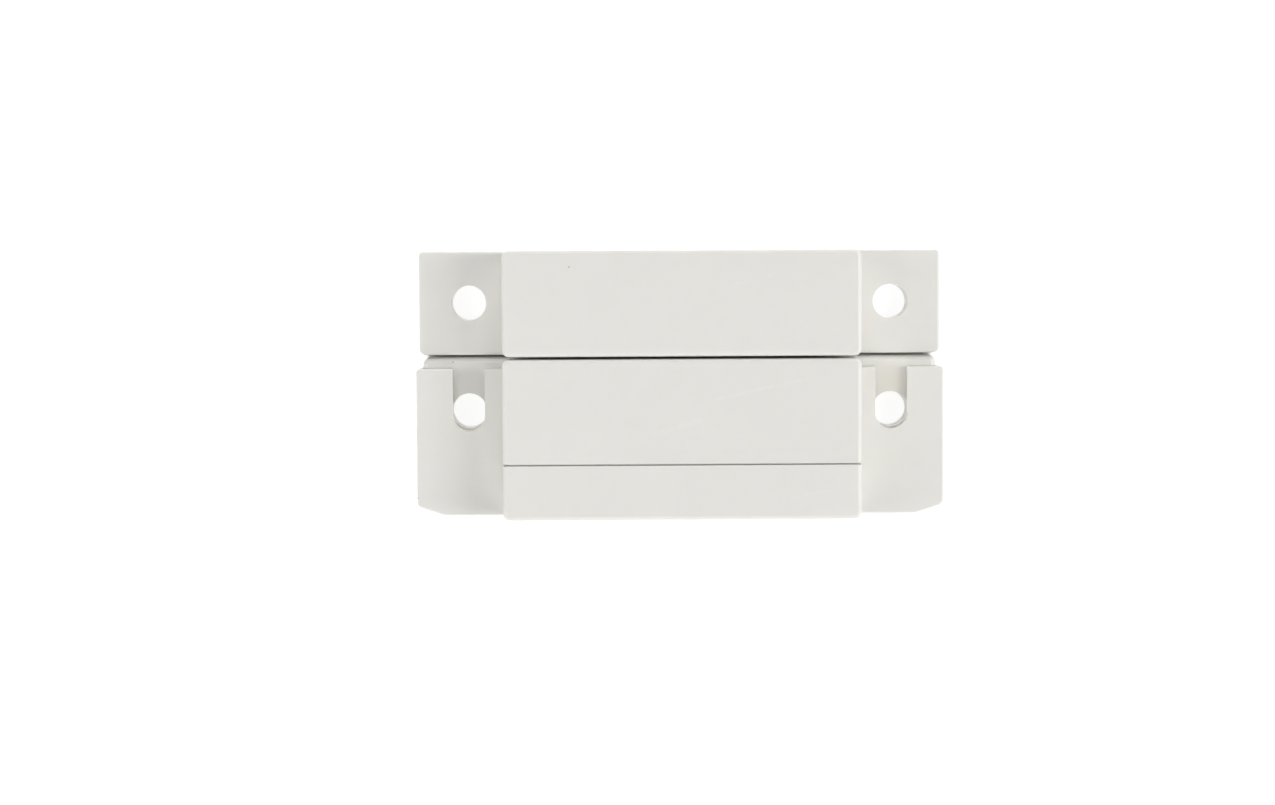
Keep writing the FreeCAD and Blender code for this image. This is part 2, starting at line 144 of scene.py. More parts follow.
class Graph:
    """The node tree of one material or world, built from expressions."""

    def __init__(self, tree: bpy.types.NodeTree) -> None:
        """Empties the tree."""
        tree.nodes.clear()
        self.tree = tree

    def add(
        self,
        kind: str,
        settings: dict[str, object] | None = None,
        inputs: dict[str | int, Socket] | None = None,
        output: int | str = 0,
    ) -> Term:
        """Adds one node.

        Args:
            kind: the node's type.
            settings: the node's properties, and the stops of a ramp under "stops".
            inputs: a value or a link for each named or numbered socket.
            output: the output that the result stands for.

        Returns:
            The chosen output.
        """
        node = self.tree.nodes.new(kind)
        for name, value in (settings or {}).items():
            if name == "stops":
                self._set_stops(node.color_ramp, value)
            else:
                setattr(node, name, value)
        for key, value in (inputs or {}).items():
            if isinstance(value, Term):
                self.tree.links.new(value.socket, node.inputs[key])
            else:
                node.inputs[key].default_value = value
        outputs = node.outputs
        return Term(self, outputs[output]) if len(outputs) else Term(self, None)

    @staticmethod
    def _set_stops(ramp: bpy.types.ColorRamp, stops: Sequence[tuple[float, Sequence[float]]]) -> None:
        """Gives a colour ramp its stops.

        Args:
            ramp: the ramp.
            stops: each stop as (place, colour).
        """
        while len(ramp.elements) < len(stops):
            ramp.elements.new(1.0)
        for element, (place, colour) in zip(ramp.elements, stops):
            element.position = place
            element.color = colour

    def place_mm(self) -> Term:
        """The place on the piece at rest, in millimetres of the model's frame."""
        here = self.add("ShaderNodeTexCoord", output="Object")
        return self.vector("SCALE", here, scale=1000.0)

    def vector(self, operation: str, *values: Socket, scale: float | Term | None = None) -> Term:
        """Adds a Vector Math node.

        Args:
            operation: the node's operation.
            values: the vectors, in their order.
            scale: the factor of the SCALE operation.

        Returns:
            The number or vector that the operation gives.
        """
        inputs: dict[str | int, Socket] = dict(enumerate(values))
        if scale is not None:
            inputs["Scale"] = scale
        output = "Value" if operation in ("DISTANCE", "LENGTH", "DOT_PRODUCT") else "Vector"
        return self.add("ShaderNodeVectorMath", {"operation": operation}, inputs, output)

    def noise(self, where: Term, cell_mm: float, detail: float = 2.0, roughness: float = 0.5) -> Term:
        """Noise around 0.5, whose coarsest cells are cell_mm across."""
        inputs = {"Vector": where, "Scale": 1.0 / cell_mm, "Detail": detail, "Roughness": roughness}
        return self.add("ShaderNodeTexNoise", {"noise_dimensions": "3D"}, inputs)

    def step(self, value: Term, low: float, high: float, at_low: float = 0.0, at_high: float = 1.0) -> Term:
        """A smooth step between two values of a term."""
        inputs = {"Value": value, "From Min": low, "From Max": high, "To Min": at_low, "To Max": at_high}
        return self.add("ShaderNodeMapRange", {"interpolation_type": "SMOOTHSTEP"}, inputs)

    def tint(self, factor: Term | float, first: Socket, second: Socket, how: str = "MIX") -> Term:
        """Mixes two colours."""
        settings = {"data_type": "RGBA", "blend_type": how, "clamp_factor": True}
        return self.add("ShaderNodeMix", settings, {0: factor, 6: first, 7: second}, 2)

    def grey(self, value: Term) -> Term:
        """A colour whose three channels are the value."""
        return self.add("ShaderNodeCombineColor", inputs={0: value, 1: value, 2: value})

    def line_distance(self, where: Term, start: Triple, end: Triple) -> Term:
        """The distance from a straight line.

        Args:
            where: the place that is measured, in millimetres.
            start: the line's first point.
            end: its last point.

        Returns:
            The distance in millimetres.
        """
        run = [b - a for a, b in zip(start, end)]
        length_squared = sum(c * c for c in run)
        offset = self.vector("SUBTRACT", where, start)
        along = self.vector("DOT_PRODUCT", offset, tuple(c / length_squared for c in run))
        share = self.add("ShaderNodeClamp", inputs={0: along})
        foot = self.vector("SCALE", tuple(run), scale=share)
        return self.vector("DISTANCE", offset, foot)

    def bump(self, height: Term, depth_mm: float, normal: Term | None = None) -> Term:
        """A normal that follows a height.

        Args:
            height: the height, from 0 to 1.
            depth_mm: the depth that 0 to 1 stands for.
            normal: the normal to start from, or None for the surface's own.

        Returns:
            The new normal.
        """
        inputs: dict[str | int, Socket] = {"Height": height, "Distance": depth_mm * MM, "Strength": 1.0}
        if normal is not None:
            inputs["Normal"] = normal
        return self.add("ShaderNodeBump", inputs=inputs)

    def emission(self, strength: Term) -> Term:
        """White light of the given strength."""
        return self.add("ShaderNodeEmission", inputs={"Color": WHITE, "Strength": strength})

    def diffuse(self, colour: Triple) -> Term:
        """A matt surface of the given colour."""
        return self.add("ShaderNodeBsdfDiffuse", inputs={"Color": opaque(colour)})

    def principled(self, inputs: dict[str | int, Socket]) -> None:
        """Ends the graph in a Principled shader with these inputs."""
        self.surface(self.add("ShaderNodeBsdfPrincipled", inputs=inputs))

    def surface(self, shader: Term, world: bool = False) -> None:
        """Ends the graph in the tree's output."""
        kind = "ShaderNodeOutputWorld" if world else "ShaderNodeOutputMaterial"
        self.add(kind, inputs={"Surface": shader})


def new_material(name: str) -> tuple[bpy.types.Material, Graph]:
    """Makes an empty node material.

    Args:
        name: the material's name.

    Returns:
        The material and its graph.
    """
    material = bpy.data.materials.new(name)
    material.use_nodes = True
    return material, Graph(material.node_tree)


def place_object(name: str, data: bpy.types.ID) -> bpy.types.Object:
    """Puts a new object into the scene.

    Args:
        name: the object's name.
        data: its mesh, camera or lamp.

    Returns:
        The object.
    """
    holder = bpy.data.objects.new(name, data)
    bpy.context.scene.collection.objects.link(holder)
    return holder


@dataclass(frozen=True)
class Spot:
    """A small round mark on a moulding, in millimetres."""

    centre: Triple
    radius: float
    colour: Triple
    strength: float
    softness: float = 0.5


@dataclass(frozen=True)
class Scuff:
    """A faint straight scratch on a moulding, in millimetres."""

    start: Triple
    end: Triple
    width: float
    strength: float


@dataclass(frozen=True)
class Seam:
    """A fine line of painted shade along X, just inside the split between two mouldings, in millimetres:
    the gap's shadow, darkened into the colour.

    It lies from a little under the top down to the depth, within the reach of y on both sides.
    """

    y: float
    top: float
    reach: float
    depth: float = 0.45
    edge: float = 0.08
    strength: float = 0.85
    colour: Triple = (0.26, 0.255, 0.24)

    def mask(self, g: Graph, where: Term) -> Term:
        """The painted shade's share of the surface.

        Args:
            g: the moulding's graph.
            where: the place on the moulding at rest, in millimetres.

        Returns:
            A term from 0 to the dust's strength.
        """
        across, height = (
            g.add("ShaderNodeSeparateXYZ", inputs={0: where}, output=axis) for axis in ("Y", "Z")
        )
        off = across.math("ABSOLUTE", across - self.y)
        below = g.step(height, self.top - 2 * self.edge, self.top - self.edge / 2, 1.0, 0.0)
        above = g.step(height, self.top - self.depth - self.edge, self.top - self.depth)
        return g.step(off, self.reach, self.reach + self.edge / 2, self.strength, 0.0) * below * above


@dataclass(frozen=True)
class MouldedPlastic:
    """White ABS from a finely eroded mould, with its cloudiness, handling marks and scratches, and any
    painted shade given to it.
    """

    name: str
    colour: Triple = (0.80, 0.79, 0.755)
    roughness: float = 0.34
    refraction: float = 1.52
    cloud: float = 0.02
    cloud_cell_mm: float = 9.0
    fine_cloud_cell_mm: float = 1.6
    wear_cell_mm: float = 3.5
    wear_roughness: float = 0.06
    grain_depth_mm: float = 0.0022
    grain_cell_mm: float = 0.24
    sink_depth_mm: float = 0.02
    sink_cell_mm: float = 6.0
    scuff_colour: Triple = (0.93, 0.92, 0.89)
    scuff_cell_mm: float = 1.2
    scuff_roughness: float = 0.2
    scatter: float = 0.5
    scatter_mm: float = 0.18
    scatter_reach: Triple = (1.0, 0.92, 0.78)
    seed: float = 0.0
    seed_slope: float = 1.7
    spots: tuple[Spot, ...] = ()
    scuffs: tuple[Scuff, ...] = ()
    split_shades: tuple[Seam, ...] = ()

    def material(self) -> bpy.types.Material:
        """Builds the material.

        Returns:
            The finished node material.
        """
        material, g = new_material(self.name)
        place = g.vector("ADD", g.place_mm(), (self.seed, self.seed * self.seed_slope, 0.0))
        still = g.place_mm()
        cloud = g.noise(place, self.cloud_cell_mm, 3.0)
        fine_cloud = g.noise(place, self.fine_cloud_cell_mm)
        level = 1.0 + (cloud - 0.5) * (2 * self.cloud) + (fine_cloud - 0.5) * self.cloud
        colour = g.tint(1.0, opaque(self.colour), g.grey(level), "MULTIPLY")
        # The spots hold dark specks, and also painted shade and yellowing on the notch floors.
        for spot in self.spots:
            distance = g.vector("DISTANCE", still, spot.centre)
            mask = g.step(distance, spot.radius * (1 - spot.softness), spot.radius, spot.strength, 0.0)
            colour = g.tint(mask, colour, opaque(spot.colour))
        # Painted shade: the faces just inside the split between two mouldings are darkened as the shadow in
        # the gap.
        for split_shade in self.split_shades:
            colour = g.tint(split_shade.mask(g, still), colour, opaque(split_shade.colour))
        wear = g.step(g.noise(place, self.wear_cell_mm, 4.0, 0.6), 0.45, 0.75)
        rough = self.roughness + wear * self.wear_roughness
        grain = g.noise(place, self.grain_cell_mm, 2.0, 0.6)
        normal = g.bump(grain, self.grain_depth_mm)
        normal = g.bump(g.noise(place, self.sink_cell_mm, 1.0), self.sink_depth_mm, normal)
        for scuff in self.scuffs:
            distance = g.line_distance(still, scuff.start, scuff.end)
            mask = g.step(distance, 0.0, scuff.width, scuff.strength, 0.0)
            mask = mask * g.step(g.noise(place, self.scuff_cell_mm, 3.0), 0.35, 0.6)
            colour = g.tint(mask, colour, opaque(self.scuff_colour))
            rough = rough + mask * self.scuff_roughness
        g.principled(
            {
                "Base Color": colour,
                "Roughness": rough,
                "Normal": normal,
                "IOR": self.refraction,
                "Subsurface Weight": self.scatter,
                "Subsurface Radius": self.scatter_reach,
                "Subsurface Scale": self.scatter_mm * MM,
            }
        )
        return material


@dataclass(frozen=True)
class Metal:
    """A plated or bare metal with drawn or turned lines, tarnish and small dents."""

    name: str
    colour: Triple
    tarnish: Triple
    roughness: float = 0.28
    tarnish_share: float = 0.35
    tarnish_cell_mm: float = 1.4
    tarnish_roughness: float = 0.12
    line_roughness: float = 0.12
    line_cell_mm: Triple = (0.05, 1.5, 1.5)
    line_depth_mm: float = 0.002
    turned_about: tuple[float, float] | None = None

    def material(self) -> bpy.types.Material:
        """Builds the material.

        Returns:
            The finished node material.
        """
        material, g = new_material(self.name)
        place = g.place_mm()
        stretched = g.vector("DIVIDE", place, self.line_cell_mm)
        if self.turned_about is not None:
            flat = g.vector("MULTIPLY", place, (1.0, 1.0, 0.0))
            radius = g.vector("DISTANCE", flat, (*self.turned_about, 0.0))
            stretched = g.grey(radius / self.line_cell_mm[0])
        lines = g.noise(stretched, 1.0, 3.0, 0.6)
        patches = g.step(g.noise(place, self.tarnish_cell_mm, 4.0, 0.65), 0.42, 0.72)
        colour = g.tint(patches * self.tarnish_share, opaque(self.colour), opaque(self.tarnish))
        rough = self.roughness + patches * self.tarnish_roughness + (lines - 0.5) * self.line_roughness
        normal = g.bump(lines, self.line_depth_mm)
        g.principled({"Base Color": colour, "Metallic": 1.0, "Roughness": rough, "Normal": normal})
        return material


@dataclass(frozen=True)
class CastResin:
    """Poured potting resin: glossy, nearly opaque, with a faint swirl and pinholes."""

    name: str
    colour: Triple = (0.055, 0.055, 0.052)
    swirl_colour: Triple = (0.085, 0.083, 0.078)
    swirl_cell_mm: float = 2.5
    swirl_roughness: float = 0.1
    bend_cell_mm: float = 4.0
    bend_mm: float = 6.0
    dimple_cell_mm: float = 1.2
    dimple_depth_mm: float = 0.01
    roughness: float = 0.16
    refraction: float = 1.55

    def material(self) -> bpy.types.Material:
        """Builds the material.

        Returns:
            The finished node material.
        """
        material, g = new_material(self.name)
        place = g.place_mm()
        bend = g.noise(place, self.bend_cell_mm)
        bent = g.vector("ADD", place, g.grey(bend * self.bend_mm))
        swirl = g.step(g.noise(bent, self.swirl_cell_mm, 3.0), 0.4, 0.65)
        colour = g.tint(swirl, opaque(self.colour), opaque(self.swirl_colour))
        rough = self.roughness + swirl * self.swirl_roughness
        normal = g.bump(g.noise(place, self.dimple_cell_mm), self.dimple_depth_mm)
        g.principled({"Base Color": colour, "Roughness": rough, "Normal": normal, "IOR": self.refraction})
        return material


@dataclass(frozen=True)
class DrawnGlass:
    """The reed switch's green-tinted glass, with faint draw lines along the tube."""

    name: str
    colour: Triple = (0.78, 0.9, 0.76)
    deep_colour: Triple = (0.7, 0.84, 0.68)
    deep_cell_mm: float = 2.0
    deep_share: float = 0.2
    line_cell_mm: Triple = (6.0, 0.25, 0.25)
    line_depth_mm: float = 0.004
    line_roughness: float = 0.03
    roughness: float = 0.03
    refraction: float = 1.5

    def material(self) -> bpy.types.Material:
        """Builds the material.

        Returns:
            The finished node material.
        """
        material, g = new_material(self.name)
        place = g.place_mm()
        lines = g.noise(g.vector("DIVIDE", place, self.line_cell_mm), 1.0)
        normal = g.bump(lines, self.line_depth_mm)
        depth = g.step(g.noise(place, self.deep_cell_mm), 0.3, 0.7)
        colour = g.tint(depth * self.deep_share, opaque(self.colour), opaque(self.deep_colour))
        g.principled(
            {
                "Base Color": colour,
                "Roughness": self.roughness + lines * self.line_roughness,
                "Normal": normal,
                "IOR": self.refraction,
                "Transmission Weight": 1.0,
            }
        )
        return material


@dataclass(frozen=True)
class SinteredAlloy:
    """The magnet's ground ceramic metal: dark grey, finely pitted, with grinding lines round it."""

    name: str
    colour: Triple = (0.07, 0.068, 0.065)
    pit_colour: Triple = (0.16, 0.155, 0.15)
    pit_cell_mm: float = 0.35
    pit_share: float = 0.6
    pit_roughness: float = 0.25
    line_cell_mm: Triple = (0.08, 2.0, 2.0)
    line_share: float = 0.3
    relief_mm: float = 0.008
    roughness: float = 0.42
    metallic: float = 0.35

    def material(self) -> bpy.types.Material:
        """Builds the material.

        Returns:
            The finished node material.
        """
        material, g = new_material(self.name)
        place = g.place_mm()
        pits = g.step(g.noise(place, self.pit_cell_mm, 3.0, 0.7), 0.6, 0.72)
        lines = g.noise(g.vector("DIVIDE", place, self.line_cell_mm), 1.0)
        pale = pits * self.pit_share + lines * self.line_share
        colour = g.tint(pale, opaque(self.colour), opaque(self.pit_colour))
        rough = self.roughness + pits * self.pit_roughness
        normal = g.bump(lines - pits, self.relief_mm)
        g.principled(
            {"Base Color": colour, "Metallic": self.metallic, "Roughness": rough, "Normal": normal}
        )
        return material


@dataclass(frozen=True)
class SoftBox:
    """A square studio lamp that faces the object.

    The level is the brightness that it alone gives to a white surface that faces it there. A lamp
    that isn't mirrored gives no highlight: the low ones would bleach the tops in low views.
    """

    name: str
    place: Triple
    size: float
    level: float
    mirrored: bool = True

    def light(self) -> None:
        """Hangs the lamp."""
        lamp = bpy.data.lights.new(self.name, "AREA")
        lamp.shape = "SQUARE"
        lamp.size = self.size
        lamp.energy = self.level * math.pi**2 * Vector(self.place).length_squared
        holder = place_object(self.name, lamp)
        holder.location = self.place
        holder.visible_glossy = self.mirrored
        holder.rotation_euler = Vector(self.place).to_track_quat("Z", "Y").to_euler()


@dataclass
class Studio:
    """The camera, the white table and the light."""

    camera_place: Triple = (-0.008141, 0.013745, 0.299734)
    camera_turns_deg: Triple = (3.114, 0.578, 0.326)
    focal_pixels: float = 2457.0
    picture_pixels: float = 1275.0
    sensor_width: float = 36.0
    near_clip: float = 0.01
    floor_level: float = -0.0001
    floor_half: float = 4.0
    floor_glow: float = 0.85
    floor_shade: float = 0.3
    open_reach: float = 0.0015
    open_samples: int = 16
    open_from: float = 0.28
    open_to: float = 0.42
    gap_margin: float = 0.05
    table_colour: Triple = (0.5, 0.5, 0.497)
    table_light: float = 0.42
    sky_level: float = 0.05
    under_level: float = 0.75
    horizon: float = -0.05
    lamps: tuple[SoftBox, ...] = (
        SoftBox("right_lamp", (0.6, 0.0, 0.42), 0.3, 0.11),
        SoftBox("right_low_lamp", (0.8, 0.0, 0.12), 0.3, 0.36, False),
        SoftBox("right_high_lamp", (0.45, 0.0, 0.6), 0.3, 0.29),
        SoftBox("far_lamp", (0.0, 0.8, 0.25), 0.5, 0.55, False),
        SoftBox("near_lamp", (0.0, -0.8, 0.25), 0.5, 0.52, False),
        SoftBox("near_high_lamp", (0.0, -0.6, 0.6), 0.4, 0.13),
        SoftBox("left_lamp", (-0.8, 0.0, 0.25), 0.5, 0.32, False),
        SoftBox("left_close_lamp", (-0.16, 0.0, 0.22), 0.12, 0.16),
    )

    def camera(self) -> None:
        """Sets up the camera at the photograph's viewing angle."""
        data = bpy.data.cameras.new("camera")
        data.sensor_fit = "HORIZONTAL"
        data.sensor_width = self.sensor_width
        data.lens = self.focal_pixels * self.sensor_width / self.picture_pixels
        data.clip_start = self.near_clip
        holder = place_object("camera", data)
        about_x, about_y, about_z = (math.radians(a) for a in self.camera_turns_deg)
        turn = Matrix.Rotation(about_z, 3, "Z") @ Matrix.Rotation(about_y, 3, "Y")
        turn = turn @ Matrix.Rotation(about_x, 3, "X")
        holder.matrix_world = Matrix.Translation(self.camera_place) @ turn.transposed().to_4x4()
        bpy.context.scene.camera = holder

    @staticmethod
    def seen(g: Graph) -> Term:
        """Whether a ray comes from the camera, or from a reflection or glass.

        Args:
            g: the graph of the table or the world.

        Returns:
            A term that is 1 for such rays and 0 for the others.
        """
        names = ("Is Camera Ray", "Is Glossy Ray", "Is Transmission Ray")
        camera, glossy, through = (g.add("ShaderNodeLightPath", output=name) for name in names)
        either = camera.math("MAXIMUM", camera, glossy)
        return either.math("MAXIMUM", either, through)

    def pair_gap(self, g: Graph) -> Term:
        """Whether a place on the table lies under the gap between the two closed halves.

        Args:
            g: the table's graph.

        Returns:
            A term that is 1 under the gap and 0 elsewhere.
        """
        switch_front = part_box("switch_housing")[1].y / MM
        magnet_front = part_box("magnet_housing")[0].y / MM
        across = g.add("ShaderNodeSeparateXYZ", inputs={0: g.place_mm()}, output="Y")
        middle = (switch_front + magnet_front) / 2
        reach = (magnet_front - switch_front) / 2 + self.gap_margin
        return across.math("COMPARE", across, middle, reach)

    def floor(self) -> None:
        """Lays the white table, which keeps the object's shadow and is open from below.

        The table gives a little even light of its own. Where the object covers it, it lets the
        light from below through instead, so that the mounting faces can be seen when the object is
        looked at from underneath. None comes up through the gap between the halves.
        """
        mesh = bpy.data.meshes.new("floor")
        half, level = self.floor_half, self.floor_level
        corners = [(-half, -half, level), (half, -half, level), (half, half, level), (-half, half, level)]
        mesh.from_pydata(corners, [], [(0, 1, 2, 3)])
        table = place_object("floor", mesh)
        material, g = new_material("white_table")
        settings = {"samples": self.open_samples}
        room = g.add("ShaderNodeAmbientOcclusion", settings, {"Distance": self.open_reach}, "AO")
        open_air = g.step(room, self.open_from, self.open_to)
        light = g.emission(open_air * self.floor_glow)
        shadow = g.diffuse((self.floor_shade,) * 3)
        seen = g.add("ShaderNodeAddShader", inputs={0: light, 1: shadow})
        bounce = g.diffuse(self.table_colour)
        even = g.emission(open_air * self.table_light)
        plain = g.add("ShaderNodeAddShader", inputs={0: bounce, 1: even})
        under = g.add("ShaderNodeBsdfTransparent")
        closed = open_air.math("MAXIMUM", open_air, self.pair_gap(g))
        lit = g.add("ShaderNodeMixShader", inputs={0: closed, 1: under, 2: plain})
        top = g.add("ShaderNodeMixShader", inputs={0: self.seen(g), 1: lit, 2: seen})
        back = g.add("ShaderNodeNewGeometry", output="Backfacing")
        g.surface(g.add("ShaderNodeMixShader", inputs={0: back, 1: top, 2: under}))
        mesh.materials.append(material)

    def sky(self) -> None:
        """Surrounds the table with a white room, and lights the object's underside from below."""
        world = bpy.data.worlds.new("studio_room")
        bpy.context.scene.world = world
        world.use_nodes = True
        g = Graph(world.node_tree)
        where = g.add("ShaderNodeTexCoord", output="Generated")
        height = g.add("ShaderNodeSeparateXYZ", inputs={0: where}, output="Z")
        level = g.step(height, self.horizon, 0.0, self.under_level, self.sky_level)
        mix = {0: self.seen(g), 2: level, 3: 1.0}
        strength = g.add("ShaderNodeMix", {"data_type": "FLOAT"}, mix)
        inputs = {"Color": WHITE, "Strength": strength}
        g.surface(g.add("ShaderNodeBackground", inputs=inputs), world=True)

    def build(self) -> None:
        """Sets up the whole studio."""
        self.camera()
        self.floor()
        self.sky()
        for lamp in self.lamps:
            lamp.light()
        bpy.context.scene.view_settings.view_transform = "Standard"


def mend(shape: bmesh.types.BMesh, near: float = 2e-4, pinhole_sides: int = 8) -> None:
    """Joins corners that all but touch, and closes the pinholes that cuts leave.

    Args:
        shape: the shape to mend.
        near: the distance in millimetres up to which corners are joined.
        pinhole_sides: the most edges that a pinhole has.
    """
    bmesh.ops.remove_doubles(shape, verts=shape.verts, dist=near)
    bmesh.ops.dissolve_degenerate(shape, edges=shape.edges, dist=near)
    rim = [edge for edge in shape.edges if edge.is_boundary]
    bmesh.ops.holes_fill(shape, edges=rim, sides=pinhole_sides)


def settle_order(shape: bmesh.types.BMesh) -> None:
    """Sorts a shape's points, edges and faces by place, because a bevel can order them anew in each run."""
    for parts, place in (
        (shape.verts, lambda vert: vert.co[:]),
        (shape.edges, lambda edge: sorted(vert.co[:] for vert in edge.verts)),
        (shape.faces, lambda face: [vert.co[:] for vert in face.verts]),
    ):
        for index, part in enumerate(sorted(parts, key=place)):
            part.index = index
        parts.sort()


def add_piece(
    name: str,
    shape: bmesh.types.BMesh,
    body: Body,
    material: bpy.types.Material,
    node: str,
    smooth_below: float = 30.0,
) -> bpy.types.Object:
    """Turns a finished shape into a piece that rides on a body and stands for a CAD node.

    Args:
        name: the piece's name.
        shape: the shape in millimetres in the model's frame, which is freed.
        body: the body that carries the piece.
        material: the finish.
        node: the CAD node that the piece stands for.
        smooth_below: the angle in degrees up to which an edge is shaded as part of a curve.

    Returns:
        The new object.
    """
    mend(shape)
    settle_order(shape)
    bmesh.ops.scale(shape, vec=(MM, MM, MM), verts=shape.verts)
    for face in shape.faces:
        face.smooth = True
    mesh = bpy.data.meshes.new(name)
    shape.to_mesh(mesh)
    shape.free()
    mesh.materials.append(material)
    mesh.set_sharp_from_angle(angle=math.radians(smooth_below))
    piece = place_object(name, mesh)
    weigh = piece.modifiers.new("flat_faces", "WEIGHTED_NORMAL")
    weigh.mode = "FACE_AREA"
    weigh.keep_sharp = True
    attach(piece, body.value)
    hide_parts(node)
    log.info("%s: %d faces", name, len(mesh.polygons))
    return piece


def shape_of(node: str, weld: float = 0.002, flat_angle: float = 0.4) -> bmesh.types.BMesh:
    """A copy of a CAD node's shape, with its split corners welded and its flat faces whole.

    Args:
        node: the CAD node.
        weld: the distance in millimetres up to which corners are welded.
        flat_angle: the angle in degrees up to which faces are joined into one.

    Returns:
        The shape in millimetres.
    """
    shape = bmesh.new()
    shape.from_mesh(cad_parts[node].data)
    bmesh.ops.scale(shape, vec=(1 / MM, 1 / MM, 1 / MM), verts=shape.verts)
    bmesh.ops.remove_doubles(shape, verts=shape.verts, dist=weld)
    angle = math.radians(flat_angle)
    bmesh.ops.dissolve_limit(shape, angle_limit=angle, verts=shape.verts, edges=shape.edges)
    return shape


def round_sharp_edges(
    shape: bmesh.types.BMesh,
    radius: float,
    wanted: Callable[[Vector], bool] = lambda middle: True,
    segments: int = 2,
    least_angle: float = 35.0,
    tight: float = 0.0,
) -> None:
    """Rounds the sharp edges whose middle the test picks.

    Args:
        shape: the shape to change.
        radius: the round's width in millimetres.
        wanted: the test on an edge's middle point.
        segments: the number of faces across the round.
        least_angle: the smallest angle in degrees that counts as sharp.
        tight: the length in millimetres of a neighbour up to which an edge stays as it is, because
            the bevel narrows every round to what its tightest place takes.
    """
    edges = [
        edge
        for edge in shape.edges
        if len(edge.link_faces) == 2
        and edge.calc_face_angle(0.0) > math.radians(least_angle)
        and wanted((edge.verts[0].co + edge.verts[1].co) / 2)
        and all(beside.calc_length() > tight for corner in edge.verts for beside in corner.link_edges)
    ]
    bmesh.ops.bevel(
        shape,
        geom=edges,
        offset=radius,
        offset_type="OFFSET",
        segments=segments,
        profile=0.5,
        affect="EDGES",
        clamp_overlap=True,
    )


def carve(shape: bmesh.types.BMesh, tool: bmesh.types.BMesh, how: Carving) -> bmesh.types.BMesh:
    """Cuts a tool out of a shape, or joins it on.

    Args:
        shape: the shape to change, which is freed.
        tool: the other shape, which is freed.
        how: whether to cut or to join.

    Returns:
        The new shape.
    """
    objects = []
    for name, part in (("carved", shape), ("carving_tool", tool)):
        bmesh.ops.recalc_face_normals(part, faces=part.faces)
        mesh = bpy.data.meshes.new(name)
        part.to_mesh(mesh)
        part.free()
        objects.append(place_object(name, mesh))
    carved, cutter = objects
    change = carved.modifiers.new("carve", "BOOLEAN")
    change.operation = how.value
    change.solver = "EXACT"
    change.object = cutter
    result = bmesh.new()
    result.from_object(carved, bpy.context.evaluated_depsgraph_get())
    for holder in objects:
        mesh = holder.data
        bpy.data.objects.remove(holder)
        bpy.data.meshes.remove(mesh)
    return result


def quarter_turn(steps: int) -> list[float]:
    """The angles from 0 to a right angle, in equal steps."""
    return [math.pi / 2 * index / steps for index in range(steps + 1)]


def lathe(
    profile: Sequence[tuple[float, float]],
    place: Triple = (0.0, 0.0, 0.0),
    segments: int = 48,
    ring: bool = False,
    along_x: bool = False,
) -> bmesh.types.BMesh:
    """A turned shape.

    Args:
        profile: points as (radius, height), with a radius of 0 on the axis.
        place: where the axis starts.
        segments: the number of faces round the axis.
        ring: whether the profile is a closed loop that stays off the axis.
        along_x: whether the axis runs along X rather than Z.

    Returns:
        The shape in millimetres.
    """
    shape = bmesh.new()
    rings: list[list[bmesh.types.BMVert]] = []
    for radius, height in profile:
        count = segments if radius > 0 else 1
        turns = [2 * math.pi * index / segments for index in range(count)]
        rings.append([shape.verts.new((radius * math.cos(t), radius * math.sin(t), height)) for t in turns])
    pairs = list(zip(rings, rings[1:])) + ([(rings[-1], rings[0])] if ring else [])
    for upper, lower in pairs:
        for index in range(segments):
            after = (index + 1) % segments
            corners = [upper[index % len(upper)], upper[after % len(upper)]]
            corners += [lower[after % len(lower)], lower[index % len(lower)]]
            shape.faces.new(list(dict.fromkeys(corners)))
    if along_x:
        bmesh.ops.rotate(shape, matrix=Matrix.Rotation(math.pi / 2, 3, "Y"), verts=shape.verts)
    bmesh.ops.translate(shape, vec=place, verts=shape.verts)
    bmesh.ops.recalc_face_normals(shape, faces=shape.faces)
    return shape


def loft(sections: Sequence[Sequence[Vector]]) -> bmesh.types.BMesh:
    """A closed shape through cross-sections.

    Args:
        sections: the cross-sections in their order, each with the same number of points.

    Returns:
        The shape in millimetres.
    """
    shape = bmesh.new()
    rings = [[shape.verts.new(point) for point in section] for section in sections]
    for first, second in zip(rings, rings[1:]):
        for index in range(len(first)):
            after = (index + 1) % len(first)
            shape.faces.new((first[index], first[after], second[after], second[index]))
    shape.faces.new(list(reversed(rings[0])))
    shape.faces.new(rings[-1])
    bmesh.ops.recalc_face_normals(shape, faces=shape.faces)
    return shape


def tapered_block(
    centre: tuple[float, float],
    low: float,
    high: float,
    low_half: tuple[float, float],
    high_half: tuple[float, float],
) -> bmesh.types.BMesh:
    """A block whose lower and upper ends have their own sizes.

    Args:
        centre: the place of its axis.
        low: the height of its lower end.
        high: the height of its upper end.
        low_half: half of the lower end's length along X and width along Y.
        high_half: the same of the upper end.

    Returns:
        The shape in millimetres.
    """
    x, y = centre
    corners = ((-1, -1), (1, -1), (1, 1), (-1, 1))
    return loft(
        [
            [Vector((x + a * half_x, y + b * half_y, level)) for a, b in corners]
            for level, (half_x, half_y) in ((low, low_half), (high, high_half))
        ]
    )


@dataclass(frozen=True)
class PinMark:
    """The round mark that an ejector pin or the gate leaves on a moulding's underside."""

    x: float
    y: float
    level: float
    radius: float = 1.0
    depth: float = 0.07
    overcut: float = 0.4
    draft: float = 0.03
    facets: int = 32

    def tool(self) -> bmesh.types.BMesh:
        """The shape that cuts the mark.

        Returns:
            The shape in millimetres.
        """
        top, bottom = self.level + self.depth, self.level - self.overcut
        wide = self.radius + self.draft
        profile = [(0.0, top), (self.radius, top), (wide, bottom), (0.0, bottom)]
        return lathe(profile, (self.x, self.y, 0.0), self.facets)


